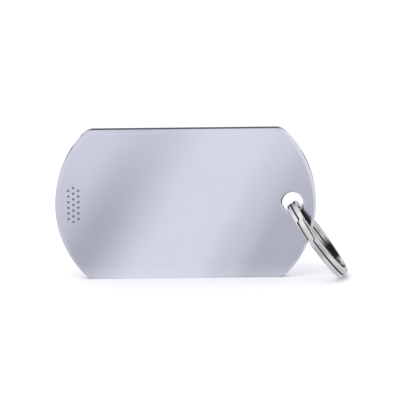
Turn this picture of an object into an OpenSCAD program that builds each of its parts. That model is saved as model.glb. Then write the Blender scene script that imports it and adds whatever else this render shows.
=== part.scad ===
// Polished identification tag, standing on its long straight edge.
// A split ring passes through its hole and leans down to the floor.
// The origin is on the floor, under the middle of the plate.
// +X runs along the plate towards the hole, +Y towards its back and +Z up.

/* [Plate] */
// Length of the plate from end to end
plate_length = 50; // [44:0.5:60]
// Height of the plate between its straight edges
plate_height = 29; // [26:0.5:33]
// Thickness of the plate
plate_thickness = 2.4; // [1.2:0.1:3]
// Radius of each round end
end_radius = 19.5; // [17:0.1:24]
// Radius that blends each round end into the straight edges
corner_radius = 2.6; // [1.6:0.1:5]
// Width of the polished roll along the front of the rim
roll_width = 0.7; // [0.3:0.05:1.2]
// Radius of the roll's arc, seen along the rim
roll_radius = 1.6; // [1.5:0.1:3]
// Rounding of the rim at the back
back_round = 0.1; // [0.05:0.05:0.4]

/* [Hole] */
// Diameter of the hole that the ring passes through
hole_diameter = 4; // [3.8:0.1:5]
// Distance from the middle of the hole to the end of the plate
hole_inset = 4.5; // [4:0.1:8]
// Rounding of both mouths of the hole
hole_round = 0.3; // [0.1:0.05:0.4]

/* [Punched mark] */
// Diameter of each punched dot
dot_diameter = 0.5; // [0.3:0.05:0.8]
// Depth of each punched dot
dot_depth = 0.12; // [0.05:0.01:0.2]
// Distance between neighbouring dots in a column
dot_pitch = 1.1; // [0.9:0.05:1.4]
// Number of dots in the middle column
dot_count = 7; // [3:1:9]
// Distance between neighbouring columns of dots
column_pitch = 0.95; // [0.8:0.05:1.3]
// Distance from the middle column to the plain end of the plate
mark_inset = 3.5; // [3:0.1:8]

/* [Split ring] */
// Outside diameter of the split ring
ring_diameter = 17.2; // [16:0.2:22]
// Width of the wire, from the ring's inside to its outside
wire_width = 1.15; // [0.9:0.05:1.3]
// Thickness of one coil of the wire
wire_thickness = 0.95; // [0.7:0.05:1]
// Rounding of the wire's edges
wire_round = 0.3; // [0.15:0.05:0.35]
// Gap between the two coils
coil_gap = 0.06; // [0.04:0.01:0.08]
// How far the ring's middle stands in front of the plate's middle
ring_forward = 1.2; // [0:0.1:2]
// Gap between the ring and the plate where the ring rests in the hole
ring_clearance = 0.05; // [0.03:0.01:0.2]
// Angle round the ring from its lowest point to the middle of the crossing
crossing_angle = 118; // [60:1:140]
// Angle round the ring over which the wire crosses from coil to coil
crossing_span = 37; // [25:1:50]
// How much thicker the wire is where it crosses
crossing_swell = 0.25; // [0:0.05:0.25]
// Width of the slits along both sides of the crossing
slit_width = 0.12; // [0.08:0.01:0.16]
// Thickness of the wire at its two tips
tip_thickness = 0.1; // [0.06:0.01:0.12]

/* [Hidden] */
$fn = 64;

// How far a cutter reaches past the surface that it cuts
overcut = 1;

// The blend between a straight edge and a round end
end_middle = plate_length / 2 - end_radius;
blend_z = plate_height / 2 - corner_radius;
blend_x = end_middle + sqrt(pow(end_radius - corner_radius, 2) - pow(blend_z, 2));

// The arc that hollows the dots
dot_radius = (pow(dot_diameter / 2, 2) + pow(dot_depth, 2)) / (2 * dot_depth);

hole_x = plate_length / 2 - hole_inset;
mark_x = mark_inset - plate_length / 2;

// The two coils lie side by side as one bundle
bundle = 2 * wire_thickness + coil_gap;
coil_middle = (wire_thickness + coil_gap) / 2;
wire_radius = (ring_diameter - wire_width) / 2;
bundle_reach = norm([bundle / 2 - wire_round, wire_width / 2 - wire_round]) + wire_round;

// The crossing runs in steps of the wire, with half-lapped tips on both sides
crossing_start = -crossing_angle - crossing_span / 2;
crossing_shift = bundle / 2 - (wire_thickness + crossing_swell) / 2 - slit_width - tip_thickness;
step_share = 0.1;
tip_share = 0.15;
crossing_steps = 14;
coil_steps = 45;
corner_steps = 2;
full_turn = 360;

// The ring rests in the hole and on the floor, and this sets how it leans
pass_angle = asin(ring_forward / wire_radius);
mouth_angle = asin((ring_forward + plate_thickness / 2 - hole_round) / wire_radius);
wire_sag = wire_radius * (cos(pass_angle) - cos(mouth_angle));
wire_drop = hole_diameter / 2 - bundle_reach - wire_sag - ring_clearance;
ring_reach = ring_diameter / 2 - wire_round;
ring_rise = ring_reach + wire_radius * cos(pass_angle);
edge_rise = bundle / 2 - wire_round;
wire_height = plate_height / 2 - wire_drop - wire_round;
ring_lean = asin(wire_height / norm([ring_rise, edge_rise])) - atan2(edge_rise, ring_rise);
ring_x = hole_x + wire_radius * cos(pass_angle) * cos(ring_lean);
ring_z = ring_reach * sin(ring_lean) + edge_rise * cos(ring_lean) + wire_round;

// Section of the plate from an inner line out to its rim, front face down
module rim_section(reach) {
    difference() {
        translate([0, -plate_thickness / 2])
            square([reach, plate_thickness]);
        difference() {
            translate([reach - roll_width, -plate_thickness / 2 - overcut])
                square([roll_width + overcut, roll_radius + overcut]);
            translate([reach - roll_width, roll_radius - plate_thickness / 2])
                circle(roll_radius);
        }
        difference() {
            translate([reach - back_round, plate_thickness / 2 - back_round])
                square(back_round + overcut);
            translate([reach - back_round, plate_thickness / 2 - back_round])
                circle(back_round);
        }
    }
}

// Round disc with the plate's rim, lying on its front face
module rim_disc(reach) {
    rotate([0, 0, 180])
        rotate_extrude()
            rim_section(reach);
}

// Wedge that keeps of an end disc what lies between the two blends
module end_wedge() {
    linear_extrude(plate_thickness + 2 * overcut, center = true)
        polygon([
            [0, 0],
            [2 * (blend_x - end_middle), -2 * blend_z],
            [plate_length, 0],
            [2 * (blend_x - end_middle), 2 * blend_z]
        ]);
}

// Half of the plate, lying on its front face
module half_plate() {
    rotate([90, 0, 90])
        linear_extrude(blend_x)
            union() {
                rim_section(plate_height / 2);
                mirror([1, 0])
                    rim_section(plate_height / 2);
            }
    translate([end_middle, 0, 0])
        intersection() {
            rim_disc(end_radius);
            end_wedge();
        }
    for (side = [-1, 1])
        translate([blend_x, side * blend_z, 0])
            rim_disc(corner_radius);
}

// Cutter for the hole, with both of its mouths flared
module hole_cutter() {
    mouth = hole_diameter / 2 + hole_round;
    rotate_extrude()
        difference() {
            translate([0, -plate_thickness / 2 - overcut])
                square([mouth, plate_thickness + 2 * overcut]);
            translate([hole_diameter / 2, hole_round - plate_thickness / 2])
                square([mouth, plate_thickness - 2 * hole_round]);
            for (side = [-1, 1])
                translate([mouth, side * (plate_thickness / 2 - hole_round)])
                    circle(hole_round);
        }
}

// Cutters for three staggered columns of dots
module dot_cutters() {
    for (column = [-1:1]) {
        count = dot_count - abs(column);
        for (i = [0:count - 1])
            translate([column * column_pitch, (i - (count - 1) / 2) * dot_pitch, dot_depth - dot_radius])
                sphere(dot_radius);
    }
}

module tag_plate() {
    color("lightsteelblue")
        translate([0, 0, plate_height / 2])
            rotate([90, 0, 0])
                difference() {
                    mirror([0, 0, 1])
                        union() {
                            half_plate();
                            mirror([1, 0, 0])
                                half_plate();
                        }
                    translate([hole_x, 0, 0])
                        hole_cutter();
                    translate([mark_x, 0, plate_thickness / 2])
                        mirror([0, 0, 1])
                            dot_cutters();
                }
}

// Smooth step from 0 to 1
function ease(x) = let (t = max(0, min(1, x))) t * t * (3 - 2 * t);

// 0 along the coils and 1 within the crossing, where f runs from 0 to 1
function crossing_part(f) = ease(f / step_share) * ease((1 - f) / step_share);

// Middle, thickness and slit of the crossing wire
function crossing_middle(f) =
    let (side = (f < 0.5 ? 1 : -1) * coil_middle)
    side + (crossing_shift * (1 - 2 * f) - side) * crossing_part(f);
function crossing_half(f) = (wire_thickness + crossing_swell * crossing_part(f)) / 2;
function crossing_gap(f) = coil_gap + (slit_width - coil_gap) * crossing_part(f);

// Lower and upper side of the wire after a travel in degrees from the crossing
function wire_low(travel) =
    travel < full_turn
        ? let (f = travel / crossing_span) crossing_middle(f) + crossing_half(f) + crossing_gap(f)
        : travel < full_turn + crossing_span
            ? let (f = (travel - full_turn) / crossing_span) crossing_middle(f) - crossing_half(f)
            : -bundle / 2;
function wire_high(travel) =
    travel < full_turn
        ? bundle / 2
        : travel < full_turn + crossing_span
            ? let (f = (travel - full_turn) / crossing_span) crossing_middle(f) + crossing_half(f)
            : let (f = (travel - 2 * full_turn) / crossing_span)
                crossing_middle(f) - crossing_half(f) - crossing_gap(f);

// Rounded section of the wire after a travel, as points round the ring's axis
function wire_section(travel) =
    let (
        low = wire_low(travel),
        high = wire_high(travel),
        edge = min(wire_round, 0.48 * (high - low)),
        angle = crossing_start + travel
    )
    [
        for (corner = [0:3])
            for (k = [0:corner_steps])
                let (
                    turn = 90 * (corner + k / corner_steps),
                    out = (corner == 0 || corner == 3 ? 1 : -1) * (wire_width / 2 - edge),
                    up = (corner < 2 ? 1 : -1) * ((high - low) / 2 - edge),
                    r = wire_radius + out + edge * cos(turn)
                )
                [r * cos(angle), r * sin(angle), (low + high) / 2 + up + edge * sin(turn)]
    ];

// Travels at which the wire has a section, closer together at the crossing
function spread(from, to, count) = [for (i = [1:count]) from + (to - from) * i / count];
tip_travel = tip_share * crossing_span;
travels = concat(
    [tip_travel],
    spread(tip_travel, crossing_span, crossing_steps),
    spread(crossing_span, full_turn, coil_steps),
    spread(full_turn, full_turn + crossing_span, crossing_steps),
    spread(full_turn + crossing_span, 2 * full_turn, coil_steps),
    spread(2 * full_turn, 2 * full_turn + crossing_span - tip_travel, crossing_steps)
);

module coiled_wire() {
    sides = 4 * (corner_steps + 1);
    last = (len(travels) - 1) * sides;
    skin = [
        for (i = [0:len(travels) - 2])
            for (k = [0:sides - 1])
                let (a = i * sides + k, b = i * sides + (k + 1) % sides)
                each [[a, b, a + sides], [b, b + sides, a + sides]]
    ];
    tips = [
        [for (k = [sides - 1:-1:0]) k],
        [for (k = [0:sides - 1]) last + k]
    ];
    polyhedron([for (travel = travels) each wire_section(travel)], concat(skin, tips));
}

module split_ring() {
    color("silver")
        translate([ring_x, -ring_forward, ring_z])
            rotate([0, ring_lean, 0])
                coiled_wire();
}

tag_plate();
split_ring();
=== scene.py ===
"""Polished identification tag with a split ring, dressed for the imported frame.

A piece is shaped in millimetres and brought to metres at the end. The camera's sizes are in
millimetres too, and the studio's are in metres.
+X runs along the plate towards the hole, +Y towards its back and +Z up.
"""

from math import asin, atan2, cos, degrees, hypot, pi, radians, sin, sqrt

import bpy
import bmesh
from mathutils import Matrix, Vector


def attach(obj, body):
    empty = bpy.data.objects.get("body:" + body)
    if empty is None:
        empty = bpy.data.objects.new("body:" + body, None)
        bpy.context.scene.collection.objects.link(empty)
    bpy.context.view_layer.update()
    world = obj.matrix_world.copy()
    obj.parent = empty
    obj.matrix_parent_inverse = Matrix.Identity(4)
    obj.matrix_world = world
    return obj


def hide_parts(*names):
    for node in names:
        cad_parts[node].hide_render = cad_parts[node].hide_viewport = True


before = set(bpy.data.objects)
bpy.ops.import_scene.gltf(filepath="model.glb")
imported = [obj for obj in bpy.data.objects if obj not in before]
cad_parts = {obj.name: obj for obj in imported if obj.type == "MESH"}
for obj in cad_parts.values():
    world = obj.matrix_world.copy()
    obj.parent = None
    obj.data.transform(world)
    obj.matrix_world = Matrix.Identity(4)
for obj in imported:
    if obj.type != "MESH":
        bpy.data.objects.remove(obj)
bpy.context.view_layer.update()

MM = 0.001

# The plate
PLATE_LENGTH = 50.0
PLATE_HEIGHT = 29.0
PLATE_THICKNESS = 2.4
END_RADIUS = 19.5
CORNER_RADIUS = 2.6
ROLL_WIDTH = 0.7
ROLL_RADIUS = 1.6
BACK_ROUND = 0.1

# The hole
HOLE_RADIUS = 2.0
HOLE_INSET = 4.5
HOLE_ROUND = 0.3

# Flat strip along the rim and round the hole, between which the two faces are filled
FACE_MARGIN = 0.12

# The punched mark
DOT_DIAMETER = 0.5
DOT_DEPTH = 0.12
DOT_PITCH = 1.1
DOT_COLUMNS = (6, 7, 6)
COLUMN_PITCH = 0.95
MARK_INSET = 3.5

# The split ring
RING_DIAMETER = 17.2
WIRE_WIDTH = 1.15
WIRE_THICKNESS = 0.95
WIRE_ROUND = 0.3
COIL_GAP = 0.06
RING_FORWARD = 1.2
RING_CLEARANCE = 0.05
CROSSING_ANGLE = 118.0
CROSSING_SPAN = 37.0
CROSSING_SWELL = 0.25
SLIT_WIDTH = 0.12
TIP_THICKNESS = 0.1
STEP_SHARE = 0.1
TIP_SHARE = 0.15

# The solids have fewer steps, and these keep the finer pieces inside them
PLATE_FIT = 0.9997
RING_FIT = 0.9985

# Steps of the round forms
ROLL_STEPS = 10
BACK_STEPS = 6
CORNER_STEPS = 14
END_STEPS = 64
MOUTH_STEPS = 8
HOLE_STEPS = 96
DOT_SEGMENTS = 32
DOT_RINGS = 16
WIRE_ROUND_STEPS = 8
TIP_STEPS = 26
CROSSING_STEPS = 32
COIL_STEPS = 110

# Parts of the straight runs
LONG_EDGE_PARTS = 8
RIM_PARTS = 4
HOLE_WALL_PARTS = 3
WIRE_CUTS = 4

# Sides of the wire's section that are longer than this are straight, and the rest are its rounding
STRAIGHT_SIDE = WIRE_THICKNESS / 5

# Points this close are merged, and a point this close to a face counts as on it
MERGE_GAP = 1e-4
FACE_GAP = 1e-3

# Keeps a travel of whole turns from being rounded down
TURN_MARGIN = 1e-9

# Faces that meet at less than this many degrees are shaded as one
SMOOTH_ANGLE = 32

# How far the inside of a dot has to face the front
DOT_FACING = 0.3

# How steeply the wire's surface turns into the seam where the painted shade in the seam starts
SEAM_START = 0.45
SEAM_RISE = 0.35

# Where the ring's inside gets painted shade and a painted dark reflection of itself, in degrees from
# its lowest point
FAR_SHADE = (30, 40, 62, 82)
NEAR_SHADE = (92, 104, 168, 178)

# How steeply the wire's surface turns inwards where that painted dark stretch starts
INWARD_START = 0.3
INWARD_RISE = 0.4

# Turn and squeeze of the three lays of wiping scratches
SCRATCH_LAYS = ((0.35, 0.02), (-0.5, 0.03), (1.35, 0.025))

# Where in their noise scratches and haze start to show, and how quickly they come in
SCRATCH_START = 0.62
SCRATCH_RATE = 6.0
HAZE_START = 0.35
HAZE_RATE = 2.5

# How much finer the haze is than the wave, and how much each of haze and scratches tints
HAZE_FINENESS = 2.5
TINT_SHARE = 0.5

# What scratches add to the roughness, in parts of the haze, and what the dots and the painted shade add
SCRATCH_HAZE = 1.5
DOTS_AND_SHADE_ROUGHNESS = 0.3

# The camera, with its clipping in metres
CAMERA_ELEVATION = radians(10.5)
CAMERA_ROLL = radians(0.62)
CAMERA_DISTANCE = 1500.0
VIEW_WIDTH = 76.65
VIEW_MIDDLE = (2.77, 0.0, 15.0)
SENSOR_WIDTH = 36.0
CLIP_START = 0.01
CLIP_END = 20.0

# The soft light, with its angles in degrees
LIGHT_ENERGY = 0.6
LIGHT_SPREAD = 32
LIGHT_TILT = 28
LIGHT_TURN = -32

# Colours of the floor and the surroundings as the camera sees them
FLOOR_WHITE = (0.86, 0.86, 0.86)
ROOM_WHITE = (0.955, 0.945, 1.0)
ROOM_STRENGTH = 1.2

# The light tone to which the bands fade
LIGHT_BAND = (0.83, 0.835, 0.885)

# The bands that the plate mirrors, by their place across the studio, from 0 to 1
STUDIO_BANDS = (
    (0.140, (0.69, 0.69, 0.73)),
    (0.204, (0.665, 0.67, 0.715)),
    (0.262, (0.485, 0.49, 0.535)),
    (0.345, (0.80, 0.806, 0.858)),
    (0.400, (0.80, 0.806, 0.858)),
    (0.440, (0.66, 0.67, 0.71)),
    (0.475, (0.515, 0.52, 0.555)),
    (0.560, (0.515, 0.52, 0.555)),
    (0.700, (0.80, 0.79, 0.80)),
)

# Where the bands start, the rate at which they follow, and how they slant on the floor
BANDS_START = -1 / 15
BANDS_RATE = 6.0
BANDS_SLANT = -0.0987

# The card in front, and how its bands are stretched, moved and weakened
CARD_PLACE = (0, -0.3, 0.16)
CARD_SHAPE = (1.0, 0.32, 1.0)
CARD_STRETCH = 0.83
CARD_SHIFT = -0.015
CARD_FADE = 0.5

# The floor, on which the bands fade to the light one further away from the plate
FLOOR_SIZE = 6.0
FAR_START = 0.06
FAR_RATE = 5.0

# The paler floor close to the plate, with its share of white by the distance
NEAR_RATE = 50.0
NEAR_FLOOR = ((0.02, 0.0), (0.12, 0.22), (0.40, 0.12), (0.80, 0.0))

# The dark floor behind the right end
BEHIND_RIGHT = (0.05, 0.05, 0.055)
RIGHT_START = 0.022
RIGHT_RATE = 150.0
RIGHT_END = 0.06
RIGHT_BEHIND = 0.09
RIGHT_BEHIND_RATE = 80.0

# The dark stretches of floor behind that the left end's rim mirrors
BEHIND_LEFT = (0.06, 0.06, 0.065)
LEFT_STRETCHES = (
    (0.10, 0.0),
    (0.17, 0.4),
    (0.24, 1.0),
    (0.33, 1.0),
    (0.38, 0.0),
    (0.72, 0.0),
    (0.92, 0.8),
)
LEFT_START = -0.02

# The rate at which both dark zones fade out towards the right
ZONE_RATE = -100.0

# The light patch of floor beside the ring that its lower coils mirror
PATCH = (0.90, 0.90, 0.90)
PATCH_MIDDLE = (0.0345, -0.0135, 0.0)
PATCH_REACH = 0.0091
PATCH_FADE = 0.007

# The surroundings by height, from 0 straight below to 1 straight above
ROOM_BEHIND = (
    (0.50, (0.62, 0.62, 0.62)),
    (0.555, (0.55, 0.55, 0.56)),
    (0.585, (0.10, 0.10, 0.11)),
    (0.68, (0.04, 0.04, 0.045)),
    (0.82, (1.0, 1.0, 1.0)),
)
ROOM_BEFORE = (
    (0.50, (0.81, 0.81, 0.85)),
    (0.70, (0.88, 0.88, 0.91)),
    (0.90, (1.0, 1.0, 1.0)),
)

# Where the surroundings before the tag turn into those behind it, and how quickly
BEHIND_START = -1 / 15
BEHIND_RATE = 3.0

# The dark card behind at the left, by the X, Y and Z of the direction in which it lies
LEFT_CARD = (0.015, 0.015, 0.018)
CARD_LEFT_START = -0.42
CARD_LEFT_RATE = -8.0
CARD_BEHIND_START = 0.2
CARD_BEHIND_RATE = 6.0
CARD_RISE = ((0.12, 0.0), (0.30, 1.0), (0.72, 1.0), (0.84, 0.0))

# What follows from these sizes
half_height = PLATE_HEIGHT / 2
half_thickness = PLATE_THICKNESS / 2
end_middle = PLATE_LENGTH / 2 - END_RADIUS
blend_z = half_height - CORNER_RADIUS
blend_x = end_middle + sqrt((END_RADIUS - CORNER_RADIUS) ** 2 - blend_z ** 2)
blend_angle = atan2(blend_z, blend_x - end_middle)
hole_x = PLATE_LENGTH / 2 - HOLE_INSET
mark_x = MARK_INSET - PLATE_LENGTH / 2

bundle = 2 * WIRE_THICKNESS + COIL_GAP
coil_middle = (WIRE_THICKNESS + COIL_GAP) / 2
wire_radius = (RING_DIAMETER - WIRE_WIDTH) / 2
bundle_reach = hypot(bundle / 2 - WIRE_ROUND, WIRE_WIDTH / 2 - WIRE_ROUND) + WIRE_ROUND
crossing_shift = bundle / 2 - (WIRE_THICKNESS + CROSSING_SWELL) / 2 - SLIT_WIDTH - TIP_THICKNESS

# How the ring leans from the hole to the floor
pass_angle = asin(RING_FORWARD / wire_radius)
mouth_angle = asin((RING_FORWARD + half_thickness - HOLE_ROUND) / wire_radius)
wire_sag = wire_radius * (cos(pass_angle) - cos(mouth_angle))
wire_drop = HOLE_RADIUS - bundle_reach - wire_sag - RING_CLEARANCE
ring_reach = RING_DIAMETER / 2 - WIRE_ROUND
ring_rise = ring_reach + wire_radius * cos(pass_angle)
edge_rise = bundle / 2 - WIRE_ROUND
wire_height = half_height - wire_drop - WIRE_ROUND
ring_lean = asin(wire_height / hypot(ring_rise, edge_rise)) - atan2(edge_rise, ring_rise)
ring_x = hole_x + wire_radius * cos(pass_angle) * cos(ring_lean)
ring_z = ring_reach * sin(ring_lean) + edge_rise * cos(ring_lean) + WIRE_ROUND


# Modelling steps that both pieces share

def clear_selection():
    """Leave object mode with nothing selected."""
    if bpy.context.object and bpy.context.object.mode != "OBJECT":
        bpy.ops.object.mode_set(mode="OBJECT")
    bpy.ops.object.select_all(action="DESELECT")


def take_up(piece):
    """Select this piece alone, in object mode, and make it the active one."""
    clear_selection()
    piece.select_set(True)
    bpy.context.view_layer.objects.active = piece


def name_piece(name):
    """Name the primitive that was just added, and its mesh."""
    piece = bpy.context.object
    piece.name = name
    piece.data.name = name
    return piece


def settle(piece):
    """Bring the piece's place, turn and scale into its mesh."""
    take_up(piece)
    bpy.ops.object.transform_apply(location=True, rotation=True, scale=True)


def pick(piece, kind, wanted):
    """In edit mode, select exactly the verts, edges or faces that wanted() says yes to."""
    mesh = bmesh.from_edit_mesh(piece.data)
    bpy.context.tool_settings.mesh_select_mode = [kind == k for k in ("verts", "edges", "faces")]
    for group in (mesh.faces, mesh.edges, mesh.verts):
        for part in group:
            part.select = False
    for part in getattr(mesh, kind):
        if wanted(part):
            part.select_set(True)
    mesh.select_flush_mode()
    bmesh.update_edit_mesh(piece.data)


def apply_modifier(piece, kind, **settings):
    """Add a modifier, set it up and apply it."""
    take_up(piece)
    modifier = piece.modifiers.new(kind.title(), kind)
    for key, value in settings.items():
        setattr(modifier, key, value)
    bpy.ops.object.modifier_apply(modifier=modifier.name)


def finish_piece(piece):
    """Close the seams, turn the faces outwards, bring the piece to metres and smooth it."""
    take_up(piece)
    bpy.ops.object.mode_set(mode="EDIT")
    bpy.ops.mesh.select_all(action="SELECT")
    bpy.ops.mesh.remove_doubles(threshold=MERGE_GAP)
    bpy.ops.mesh.normals_make_consistent(inside=False)
    bpy.ops.object.mode_set(mode="OBJECT")
    piece.scale = (MM, MM, MM)
    settle(piece)
    bpy.ops.object.shade_smooth_by_angle(angle=radians(SMOOTH_ANGLE))


def single_vertex(name, place):
    """A lone vertex to draw a profile from."""
    clear_selection()
    bpy.ops.mesh.primitive_plane_add(size=1, location=(0, 0, 0))
    piece = name_piece(name)
    bpy.ops.object.mode_set(mode="EDIT")
    bpy.ops.mesh.select_all(action="SELECT")
    bpy.ops.mesh.merge(type="CENTER")
    bpy.ops.transform.translate(value=place)
    return piece


def draw_line(step, parts=1):
    """Carry the selected end of a profile on in a straight line."""
    part = [along / parts for along in step]
    for _ in range(parts):
        bpy.ops.mesh.extrude_region_move(TRANSFORM_OT_translate={"value": part})


def draw_arc(steps, turn, center, axis):
    """Carry the selection round a centre, by the right-hand rule, which spin turns against."""
    bpy.ops.mesh.spin(steps=steps, angle=-turn, center=center, axis=axis)


# The plate

def plate_rim(name):
    """The plate's rim as a profile from front to back."""
    inner = half_height - ROLL_WIDTH
    roll_middle = (0, ROLL_RADIUS - half_thickness, inner)
    roll_depth = ROLL_RADIUS - sqrt(ROLL_RADIUS ** 2 - ROLL_WIDTH ** 2)
    back_middle = (0, half_thickness - BACK_ROUND, half_height - BACK_ROUND)
    piece = single_vertex(name, (0, -half_thickness, inner - FACE_MARGIN))
    draw_line((0, 0, FACE_MARGIN))
    draw_arc(ROLL_STEPS, -asin(ROLL_WIDTH / ROLL_RADIUS), roll_middle, (1, 0, 0))
    draw_line((0, PLATE_THICKNESS - roll_depth - BACK_ROUND, 0), RIM_PARTS)
    draw_arc(BACK_STEPS, -pi / 2, back_middle, (1, 0, 0))
    draw_line((0, 0, BACK_ROUND - ROLL_WIDTH - FACE_MARGIN))
    return piece


def sweep_outline():
    """Sweep the rim's profile once round the outline of the plate."""
    axis = (0, 1, 0)
    corner_turn = pi / 2 - blend_angle
    bpy.ops.mesh.select_all(action="SELECT")
    bpy.ops.transform.translate(value=(-blend_x, 0, 0))
    for side in (1, -1):
        draw_line((side * 2 * blend_x, 0, 0), LONG_EDGE_PARTS)
        draw_arc(CORNER_STEPS, corner_turn, (side * blend_x, 0, side * blend_z), axis)
        draw_arc(END_STEPS, 2 * blend_angle, (side * end_middle, 0, 0), axis)
        draw_arc(CORNER_STEPS, corner_turn, (side * blend_x, 0, -side * blend_z), axis)


def hole_wall(name):
    """The wall of the hole with its two rounded mouths."""
    mouth_x = hole_x + HOLE_RADIUS + HOLE_ROUND
    wall_y = half_thickness - HOLE_ROUND
    piece = single_vertex(name, (mouth_x + FACE_MARGIN, -half_thickness, 0))
    draw_line((-FACE_MARGIN, 0, 0))
    draw_arc(MOUTH_STEPS, -pi / 2, (mouth_x, -wall_y, 0), (0, 0, 1))
    draw_line((0, 2 * wall_y, 0), HOLE_WALL_PARTS)
    draw_arc(MOUTH_STEPS, -pi / 2, (mouth_x, wall_y, 0), (0, 0, 1))
    draw_line((FACE_MARGIN, 0, 0))
    bpy.ops.mesh.select_all(action="SELECT")
    draw_arc(HOLE_STEPS, 2 * pi, (hole_x, 0, 0), (0, 1, 0))
    return piece


def join_pieces(first, *others):
    """Join pieces into the first one, merged where they meet."""
    clear_selection()
    for piece in (first, *others):
        piece.select_set(True)
    bpy.context.view_layer.objects.active = first
    bpy.ops.object.join()
    bpy.ops.object.mode_set(mode="EDIT")
    bpy.ops.mesh.select_all(action="SELECT")
    bpy.ops.mesh.remove_doubles(threshold=MERGE_GAP)


def punch_dots(piece):
    """Cut the three staggered columns of dots into the front."""
    radius = ((DOT_DIAMETER / 2) ** 2 + DOT_DEPTH ** 2) / (2 * DOT_DEPTH)
    clear_selection()
    bpy.ops.mesh.primitive_uv_sphere_add(
        segments=DOT_SEGMENTS, ring_count=DOT_RINGS, radius=radius, rotation=(pi / 2, 0, 0)
    )
    punch = name_piece("punch")
    punches = []
    for column, count in enumerate(DOT_COLUMNS):
        for row in range(count):
            dot = punch.copy()
            dot.data = punch.data.copy()
            bpy.context.collection.objects.link(dot)
            dot.location = (
                mark_x + (column - 1) * COLUMN_PITCH,
                DOT_DEPTH - radius - half_thickness,
                (row - (count - 1) / 2) * DOT_PITCH,
            )
            punches.append(dot)
    bpy.data.objects.remove(punch)
    join_pieces(*punches)
    apply_modifier(piece, "BOOLEAN", operation="DIFFERENCE", solver="EXACT", object=punches[0])
    bpy.data.objects.remove(punches[0])


def make_plate():
    """The whole tag plate."""
    piece = plate_rim("tag_plate_polished")
    sweep_outline()
    join_pieces(piece, hole_wall("hole_wall"))
    for side in (-1, 1):
        face_y = side * half_thickness
        pick(piece, "edges", lambda edge: len(edge.link_faces) == 1
             and all(abs(vert.co.y - face_y) < FACE_GAP for vert in edge.verts))
        bpy.ops.mesh.fill(use_beauty=True)
    bpy.ops.mesh.select_all(action="SELECT")
    bpy.ops.mesh.normals_make_consistent(inside=False)
    punch_dots(piece)
    piece.location = (0, 0, half_height)
    piece.scale = (PLATE_FIT, 1, 1)
    settle(piece)
    finish_piece(piece)
    store_dots_and_painted_shade(piece, "FACE", dot_depth)
    return piece


def store_dots_and_painted_shade(piece, domain, darkness):
    """Store on every face or point how dark it is painted, from 0 to 1: darker inside the plate's
    punched dots, and painted shade on the ring.
    """
    dots_and_painted_shade = piece.data.attributes.new("dots_and_painted_shade", "FLOAT", domain)
    if domain == "FACE":
        spots = [(face.center, face.normal) for face in piece.data.polygons]
    else:
        spots = [(point.co, point.normal) for point in piece.data.vertices]
    for index, (place, normal) in enumerate(spots):
        dots_and_painted_shade.data[index].value = darkness(place / MM, normal)


def dot_depth(place, normal):
    """1 inside a punched dot, where place is in millimetres."""
    return float(
        -half_thickness + FACE_GAP < place.y < 0
        and abs(place.x - mark_x) < 2 * COLUMN_PITCH
        and abs(place.z - half_height) < DOT_PITCH * max(DOT_COLUMNS) / 2
        and normal.y < -DOT_FACING
    )


# The split ring

def ease(x):
    """Smooth step from 0 to 1."""
    t = max(0.0, min(1.0, x))
    return t * t * (3 - 2 * t)


def crossing_part(f):
    """0 along the coils and 1 within the crossing, where f runs from 0 to 1."""
    return ease(f / STEP_SHARE) * ease((1 - f) / STEP_SHARE)


def crossing_wire(f):
    """Middle, half thickness and slit of the wire within the crossing."""
    part = crossing_part(f)
    side = coil_middle if f < 0.5 else -coil_middle
    middle = side + (crossing_shift * (1 - 2 * f) - side) * part
    half = (WIRE_THICKNESS + CROSSING_SWELL * part) / 2
    return middle, half, COIL_GAP + (SLIT_WIDTH - COIL_GAP) * part


def wire_sides(travel):
    """Lower and upper side of the wire after a travel in degrees from the crossing's start."""
    turn = int(travel // 360 + TURN_MARGIN)
    f = (travel - 360 * turn) / CROSSING_SPAN
    middle, half, slit = crossing_wire(f)
    if turn == 0:
        return middle + half + slit, bundle / 2
    if turn == 1 and f < 1:
        return middle - half, middle + half
    if turn == 1:
        return -bundle / 2, WIRE_THICKNESS - bundle / 2
    return -bundle / 2, middle - half - slit


def start_section(name, low, high):
    """The wire's rounded section, standing at the ring's own zero angle."""
    clear_selection()
    bpy.ops.mesh.primitive_plane_add(size=1, rotation=(pi / 2, 0, 0))
    piece = name_piece(name)
    bpy.ops.object.transform_apply(location=False, rotation=True, scale=False)
    bpy.ops.object.mode_set(mode="EDIT")
    bpy.ops.mesh.select_all(action="SELECT")
    bpy.ops.transform.resize(value=(WIRE_WIDTH, 1, WIRE_THICKNESS))
    bpy.ops.mesh.bevel(affect="VERTICES", offset=WIRE_ROUND, segments=WIRE_ROUND_STEPS, profile=0.5)
    pick(piece, "edges", lambda edge: edge.calc_length() > STRAIGHT_SIDE)
    bpy.ops.mesh.subdivide(number_cuts=WIRE_CUTS)
    bpy.ops.mesh.select_all(action="SELECT")
    bpy.ops.mesh.delete(type="ONLY_FACE")
    bpy.ops.mesh.select_all(action="SELECT")
    bpy.ops.transform.resize(value=(1, 1, (high - low) / WIRE_THICKNESS))
    bpy.ops.transform.translate(value=(wire_radius, 0, (low + high) / 2))
    return piece


def turn_wire(steps, degrees_on):
    """Carry the wire's open end on round the ring."""
    draw_arc(steps, radians(degrees_on), (0, 0, 0), (0, 0, 1))


def wind_wire(travel, stop, steps, sides):
    """Wind the wire on in short steps, while its sides follow the crossing."""
    step = (stop - travel) / steps
    low, high = sides
    for _ in range(steps):
        travel += step
        turn_wire(1, step)
        new_low, new_high = wire_sides(travel)
        bpy.ops.transform.resize(
            value=(1, 1, (new_high - new_low) / (high - low)), center_override=(0, 0, (low + high) / 2)
        )
        bpy.ops.transform.translate(value=(0, 0, (new_low + new_high - low - high) / 2))
        low, high = new_low, new_high
    return low, high


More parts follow.
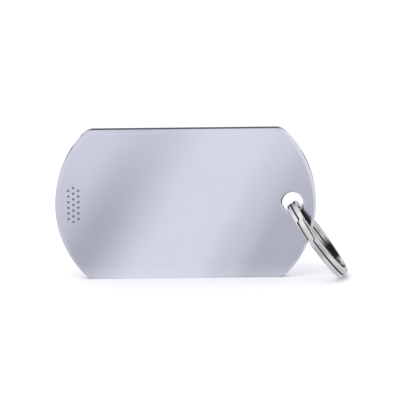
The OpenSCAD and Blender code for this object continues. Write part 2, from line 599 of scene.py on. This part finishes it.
def painted_wire_shade(place, normal):
    """How much painted shade a point of the wire gets: painted shade in the seam and slits, and a
    painted dark reflection on the ring's inside.
    """
    upright = Matrix.Rotation(-ring_lean, 3, "Y")
    spot = upright @ (place - Vector((ring_x, -RING_FORWARD, ring_z)))
    facing = upright @ normal
    # Painted shade where the wire turns into the seam or a slit
    if abs(spot.z) > bundle / 2 - WIRE_ROUND and spot.z * facing.z > 0:
        seam = 0.0
    else:
        seam = max(0.0, min(1.0, (abs(facing.z) - SEAM_START) / SEAM_RISE))
    # Painted dark reflection on the ring's inside, within FAR_SHADE or NEAR_SHADE
    inward = -(spot.x * facing.x + spot.y * facing.y) / hypot(spot.x, spot.y)
    rise, full, fade, end = FAR_SHADE if spot.y > 0 else NEAR_SHADE
    angle = degrees(atan2(abs(spot.y), spot.x))
    shade = ease((angle - rise) / (full - rise)) * ease((end - angle) / (end - fade))
    return max(seam, shade * ease((inward - INWARD_START) / INWARD_RISE))


def make_ring():
    """The two coils of the split ring, with the crossing and both tips."""
    tip = TIP_SHARE * CROSSING_SPAN
    sides = wire_sides(tip)
    piece = start_section("split_ring_wire", *sides)
    sides = wind_wire(tip, CROSSING_SPAN, TIP_STEPS, sides)
    turn_wire(COIL_STEPS, 360 - CROSSING_SPAN)
    sides = wind_wire(360, 360 + CROSSING_SPAN, CROSSING_STEPS, sides)
    turn_wire(COIL_STEPS, 360 - CROSSING_SPAN)
    wind_wire(720, 720 + CROSSING_SPAN - tip, TIP_STEPS, sides)
    bpy.ops.mesh.select_all(action="SELECT")
    bpy.ops.mesh.fill_holes(sides=0)
    piece.rotation_euler = (0, 0, radians(-CROSSING_ANGLE - CROSSING_SPAN / 2 + tip))
    piece.scale = (RING_FIT, RING_FIT, 1)
    settle(piece)
    piece.rotation_euler = (0, ring_lean, 0)
    piece.location = (ring_x, -RING_FORWARD, ring_z)
    settle(piece)
    finish_piece(piece)
    store_dots_and_painted_shade(piece, "POINT", painted_wire_shade)
    return piece


# Node trees

class Nodes:
    """Adds and joins the nodes of one tree."""

    def __init__(self, tree):
        self.tree = tree

    def add(self, kind, settings=None, **inputs):
        """Add a node, with _ for a space in the names of its inputs."""
        node = self.tree.nodes.new(kind)
        for key, value in (settings or {}).items():
            setattr(node, key, value)
        for key, value in inputs.items():
            self.feed(node.inputs[key.replace("_", " ")], value)
        return node

    def feed(self, socket, value):
        """Join another socket to this one, or set its value."""
        if isinstance(value, bpy.types.NodeSocket):
            self.tree.links.new(value, socket)
        else:
            socket.default_value = value

    def math(self, operation, *values, clamp=False):
        """Work out one value from one or two others."""
        node = self.add("ShaderNodeMath", {"operation": operation, "use_clamp": clamp})
        for socket, value in zip(node.inputs, values):
            self.feed(socket, value)
        return node.outputs[0]

    def product(self, first, *others):
        """Several values multiplied."""
        for other in others:
            first = self.math("MULTIPLY", first, other)
        return first

    def slope(self, value, start, rate):
        """Rise from 0 at the start to 1 at this rate, or with a negative one fall to 0 at the start."""
        return self.math("MULTIPLY", self.math("SUBTRACT", value, start), rate, clamp=True)

    def mix(self, factor, first, second):
        """Mix two colours."""
        node = self.add("ShaderNodeMix", {"data_type": "RGBA"})
        for name, value in (("Factor_Float", factor), ("A_Color", first), ("B_Color", second)):
            socket = next(s for s in node.inputs if s.identifier == name)
            self.feed(socket, value)
        return next(s for s in node.outputs if s.identifier == "Result_Color")

    def ramp(self, factor, stops):
        """A colour that eases from stop to stop."""
        node = self.add("ShaderNodeValToRGB", Fac=factor)
        node.color_ramp.interpolation = "EASE"
        marks = node.color_ramp.elements
        while len(marks) < len(stops):
            marks.new(0.5)
        for mark, (place, colour) in zip(marks, stops):
            mark.position = place
            mark.color = (*colour, 1)
        return node.outputs["Color"]

    def grey_ramp(self, factor, stops):
        """A grey that eases from stop to stop."""
        return self.ramp(factor, [(place, (grey, grey, grey)) for place, grey in stops])

    def place(self, kind="Object"):
        """Where a point is."""
        return self.add("ShaderNodeTexCoord").outputs[kind]

    def parts(self, vector):
        """The X, Y and Z of a vector."""
        return self.add("ShaderNodeSeparateXYZ", Vector=vector).outputs

    def noise(self, place, scale, detail, roughness):
        """Soft noise, mostly between 0.3 and 0.7."""
        grain = {"Detail": detail, "Roughness": roughness}
        return self.add("ShaderNodeTexNoise", Vector=place, Scale=scale, **grain).outputs["Fac"]

    def bump(self, height, **inputs):
        """A normal that follows a height in millimetres."""
        node = self.add("ShaderNodeBump", Strength=1.0, Distance=MM, Height=height, **inputs)
        return node.outputs["Normal"]


# Materials

def polish_group():
    """Plated and polished metal: a tint that drifts, a haze, fine wiping scratches and a soft wave."""
    tree = bpy.data.node_groups.new("polished_plating", "ShaderNodeTree")
    for name, kind, value in (
        ("Colour", "NodeSocketColor", (0.8, 0.8, 0.8, 1)),
        ("Shadow Colour", "NodeSocketColor", (0.7, 0.7, 0.7, 1)),
        ("Wave Size", "NodeSocketFloat", 0.01),
        ("Wave Height", "NodeSocketFloat", 0.1),
        ("Scratch Size", "NodeSocketFloat", 0.0004),
        ("Scratch Height", "NodeSocketFloat", 0.1),
        ("Roughness", "NodeSocketFloat", 0.05),
        ("Haze", "NodeSocketFloat", 0.05),
        ("Dots And Painted Shade", "NodeSocketFloat", 0.0),
        ("Recess Colour", "NodeSocketColor", (0.2, 0.2, 0.2, 1)),
    ):
        socket = tree.interface.new_socket(name=name, in_out="INPUT", socket_type=kind)
        socket.default_value = value
    for name, kind in (
        ("Colour", "NodeSocketColor"),
        ("Roughness", "NodeSocketFloat"),
        ("Normal", "NodeSocketVector"),
    ):
        tree.interface.new_socket(name=name, in_out="OUTPUT", socket_type=kind)
    n = Nodes(tree)
    given = n.add("NodeGroupInput").outputs
    result = n.add("NodeGroupOutput")
    place = n.place()

    wave_scale = n.math("DIVIDE", 1.0, given["Wave Size"])
    wave = n.noise(place, wave_scale, detail=1.0, roughness=0.4)
    haze_scale = n.math("DIVIDE", HAZE_FINENESS, given["Wave Size"])
    haze = n.noise(place, haze_scale, detail=5.0, roughness=0.6)
    haze = n.slope(haze, HAZE_START, HAZE_RATE)

    scratch_scale = n.math("DIVIDE", 1.0, given["Scratch Size"])
    scratches = 0.0
    for turn, squeeze in SCRATCH_LAYS:
        lay = {"Rotation": (0.0, turn, 0.0), "Scale": (squeeze, 1.0, 1.0)}
        laid = n.add("ShaderNodeMapping", Vector=place, **lay).outputs[0]
        lines = n.noise(laid, scratch_scale, detail=2.0, roughness=0.6)
        scratches = n.math("MAXIMUM", scratches, n.slope(lines, SCRATCH_START, SCRATCH_RATE))

    rough = n.math("ADD", given["Roughness"], n.product(haze, given["Haze"]))
    rough = n.math("ADD", rough, n.product(scratches, given["Haze"], SCRATCH_HAZE))
    rough = n.math("ADD", rough, n.product(given["Dots And Painted Shade"], DOTS_AND_SHADE_ROUGHNESS))
    n.feed(result.inputs["Roughness"], rough)

    hazed = n.product(haze, TINT_SHARE)
    tint = n.math("ADD", hazed, n.product(scratches, TINT_SHARE), clamp=True)
    plating = n.mix(tint, given["Colour"], given["Shadow Colour"])
    # Darker inside the punched dots, and painted shade and painted dark reflection on the ring, where
    # the mesh says so
    n.feed(result.inputs["Colour"], n.mix(given["Dots And Painted Shade"], plating, given["Recess Colour"]))

    waved = n.bump(n.product(wave, given["Wave Height"]))
    scratched = n.bump(n.product(scratches, given["Scratch Height"]), Normal=waved)
    n.feed(result.inputs["Normal"], scratched)
    return tree


def plated_metal(name, group, **values):
    """A metal with the shared polish and its own values, darker where its mesh says: inside the plate's
    punched dots, and with painted shade and painted dark reflection on the ring.
    """
    material = bpy.data.materials.new(name)
    material.use_nodes = True
    n = Nodes(material.node_tree)
    shader = material.node_tree.nodes["Principled BSDF"]
    shader.inputs["Metallic"].default_value = 1.0
    polish = n.add("ShaderNodeGroup", {"node_tree": group}, **values)
    dots_and_painted_shade = n.add("ShaderNodeAttribute", {"attribute_name": "dots_and_painted_shade"}).outputs["Fac"]
    n.feed(polish.inputs["Dots And Painted Shade"], dots_and_painted_shade)
    for key, socket in (("Colour", "Base Color"), ("Roughness", "Roughness"), ("Normal", "Normal")):
        n.feed(shader.inputs[socket], polish.outputs[key])
    return material


# The studio

def bare_nodes(owner):
    """The emptied node tree of a material or of the world."""
    owner.use_nodes = True
    owner.node_tree.nodes.clear()
    return Nodes(owner.node_tree)


def two_looks(n, plain, mirrored):
    """The mirrored shader where the metal shows it to the camera, and the plain one for all else."""
    paths = n.add("ShaderNodeLightPath").outputs
    direct = n.math("LESS_THAN", paths["Diffuse Depth"], 0.5)
    mixed = n.add("ShaderNodeMixShader", Fac=n.product(paths["Is Glossy Ray"], direct))
    n.feed(mixed.inputs[1], plain)
    n.feed(mixed.inputs[2], mirrored)
    return mixed.outputs[0]


def soft_bands(n, across):
    """The light and dark bands that the plate mirrors, by their place across the studio."""
    return n.ramp(n.slope(across, BANDS_START, BANDS_RATE), STUDIO_BANDS)


def studio_card():
    """A card in front that only the metal sees, and that carries the bands on into the rolled rim."""
    clear_selection()
    bpy.ops.mesh.primitive_plane_add(size=1.0, location=CARD_PLACE, rotation=(pi / 2, 0, 0))
    card = name_piece("studio_card")
    card.scale = CARD_SHAPE
    settle(card)
    material = bpy.data.materials.new("studio_card")
    n = bare_nodes(material)
    across = n.math("ADD", n.product(n.parts(n.place())["X"], CARD_STRETCH), CARD_SHIFT)
    tone = n.mix(CARD_FADE, soft_bands(n, across), (*LIGHT_BAND, 1))
    shown = n.add("ShaderNodeEmission", Color=tone, Strength=1.0).outputs[0]
    n.feed(n.add("ShaderNodeOutputMaterial").inputs["Surface"], shown)
    card.data.materials.append(material)
    card.visible_camera = False
    card.visible_diffuse = False
    card.visible_shadow = False


def floor_tone(n):
    """The floor as the metal mirrors it: slanted bands, a paler strip, dark zones and a light patch."""
    place = n.place()
    parts = n.parts(place)
    away = n.math("ABSOLUTE", parts["Y"])
    tone = soft_bands(n, n.math("ADD", parts["X"], n.product(away, BANDS_SLANT)))

    behind = n.slope(parts["Y"], RIGHT_BEHIND, RIGHT_BEHIND_RATE)
    right = n.slope(parts["X"], RIGHT_START, RIGHT_RATE)
    right_end = n.slope(parts["X"], RIGHT_END, ZONE_RATE)
    stretches = n.grey_ramp(parts["Y"], LEFT_STRETCHES)
    left = n.slope(parts["X"], LEFT_START, ZONE_RATE)
    apart = n.add("ShaderNodeVectorMath", {"operation": "DISTANCE"})
    n.feed(apart.inputs[0], place)
    n.feed(apart.inputs[1], PATCH_MIDDLE)
    patch = n.slope(apart.outputs["Value"], PATCH_REACH, -1 / PATCH_FADE)

    for share, colour in (
        (n.slope(away, FAR_START, FAR_RATE), LIGHT_BAND),
        (n.grey_ramp(n.slope(away, 0.0, NEAR_RATE), NEAR_FLOOR), (1, 1, 1)),
        (n.product(right, behind, right_end), BEHIND_RIGHT),
        (n.product(stretches, left), BEHIND_LEFT),
        (patch, PATCH),
    ):
        tone = n.mix(share, tone, (*colour, 1))
    return tone


def studio_floor():
    """A white floor that the metal mirrors in another tone."""
    clear_selection()
    bpy.ops.mesh.primitive_plane_add(size=FLOOR_SIZE, location=(0, 0, 0))
    floor = name_piece("studio_floor")
    material = bpy.data.materials.new("studio_floor")
    n = bare_nodes(material)
    white = n.add("ShaderNodeBsdfDiffuse", Color=(*FLOOR_WHITE, 1)).outputs[0]
    mirrored = n.add("ShaderNodeEmission", Color=floor_tone(n), Strength=1.0).outputs[0]
    n.feed(n.add("ShaderNodeOutputMaterial").inputs["Surface"], two_looks(n, white, mirrored))
    floor.data.materials.append(material)


def studio_world():
    """White to the camera and to the floor, and a soft studio in the metal."""
    world = bpy.data.worlds.new("studio")
    bpy.context.scene.world = world
    n = bare_nodes(world)
    parts = n.parts(n.place("Generated"))
    height = n.math("ADD", n.product(parts["Z"], 0.5), 0.5)
    turned = n.slope(parts["Y"], BEHIND_START, BEHIND_RATE)
    studio = n.mix(turned, n.ramp(height, ROOM_BEFORE), n.ramp(height, ROOM_BEHIND))
    left = n.slope(parts["X"], CARD_LEFT_START, CARD_LEFT_RATE)
    behind = n.slope(parts["Y"], CARD_BEHIND_START, CARD_BEHIND_RATE)
    raised = n.grey_ramp(parts["Z"], CARD_RISE)
    studio = n.mix(n.product(left, behind, raised), studio, (*LEFT_CARD, 1))
    plain = n.add("ShaderNodeBackground", Color=(*ROOM_WHITE, 1), Strength=ROOM_STRENGTH).outputs[0]
    mirrored = n.add("ShaderNodeBackground", Color=studio, Strength=1.0).outputs[0]
    n.feed(n.add("ShaderNodeOutputWorld").inputs["Surface"], two_looks(n, plain, mirrored))


def studio_light():
    """A wide soft light from the front left, which shades the floor behind the right end."""
    data = bpy.data.lights.new("soft_light", "SUN")
    data.energy = LIGHT_ENERGY
    data.angle = radians(LIGHT_SPREAD)
    light = bpy.data.objects.new("soft_light", data)
    light.visible_glossy = False
    light.rotation_euler = (radians(LIGHT_TILT), 0, radians(LIGHT_TURN))
    bpy.context.collection.objects.link(light)


def studio_camera():
    """A long lens, a little above the floor, square to the plate."""
    data = bpy.data.cameras.new("camera")
    data.sensor_width = SENSOR_WIDTH
    data.lens = SENSOR_WIDTH * CAMERA_DISTANCE / VIEW_WIDTH
    data.clip_start = CLIP_START
    data.clip_end = CLIP_END
    camera = bpy.data.objects.new("camera", data)
    bpy.context.collection.objects.link(camera)
    away = Vector((0, -cos(CAMERA_ELEVATION), sin(CAMERA_ELEVATION))) * CAMERA_DISTANCE
    turn = Matrix.Rotation(pi / 2 - CAMERA_ELEVATION, 4, "X") @ Matrix.Rotation(-CAMERA_ROLL, 4, "Z")
    camera.matrix_world = Matrix.Translation((Vector(VIEW_MIDDLE) + away) * MM) @ turn
    bpy.context.scene.camera = camera


# Making it all

bpy.context.scene.view_settings.view_transform = "Standard"
bpy.context.scene.view_settings.look = "None"

studio_camera()
plate = make_plate()
ring = make_ring()

polish = polish_group()
# The plate's dark colour is that of the inside of its punched dots
plate.data.materials.append(plated_metal(
    "plated_tag", polish, Recess_Colour=(0.30, 0.30, 0.35, 1),
    Colour=(0.83, 0.84, 0.93, 1), Shadow_Colour=(0.78, 0.79, 0.88, 1),
    Wave_Size=0.018, Wave_Height=0.02, Scratch_Size=0.00015, Scratch_Height=0.00012,
    Roughness=0.06, Haze=0.03,
))
# The ring's dark colour is painted shade in the seam and slits and a painted dark reflection on its
# inside
ring.data.materials.append(plated_metal(
    "plated_wire", polish, Recess_Colour=(0.03, 0.028, 0.028, 1),
    Colour=(0.86, 0.84, 0.82, 1), Shadow_Colour=(0.74, 0.72, 0.7, 1),
    Wave_Size=0.004, Wave_Height=0.01, Scratch_Size=0.00015, Scratch_Height=0.001,
    Roughness=0.05, Haze=0.06,
))

for piece, node, slot in ((plate, "tag_plate", "plated_tag"), (ring, "split_ring", "plated_wire")):
    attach(piece, "root")
    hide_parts(node)

studio_floor()
studio_card()
studio_world()
studio_light()
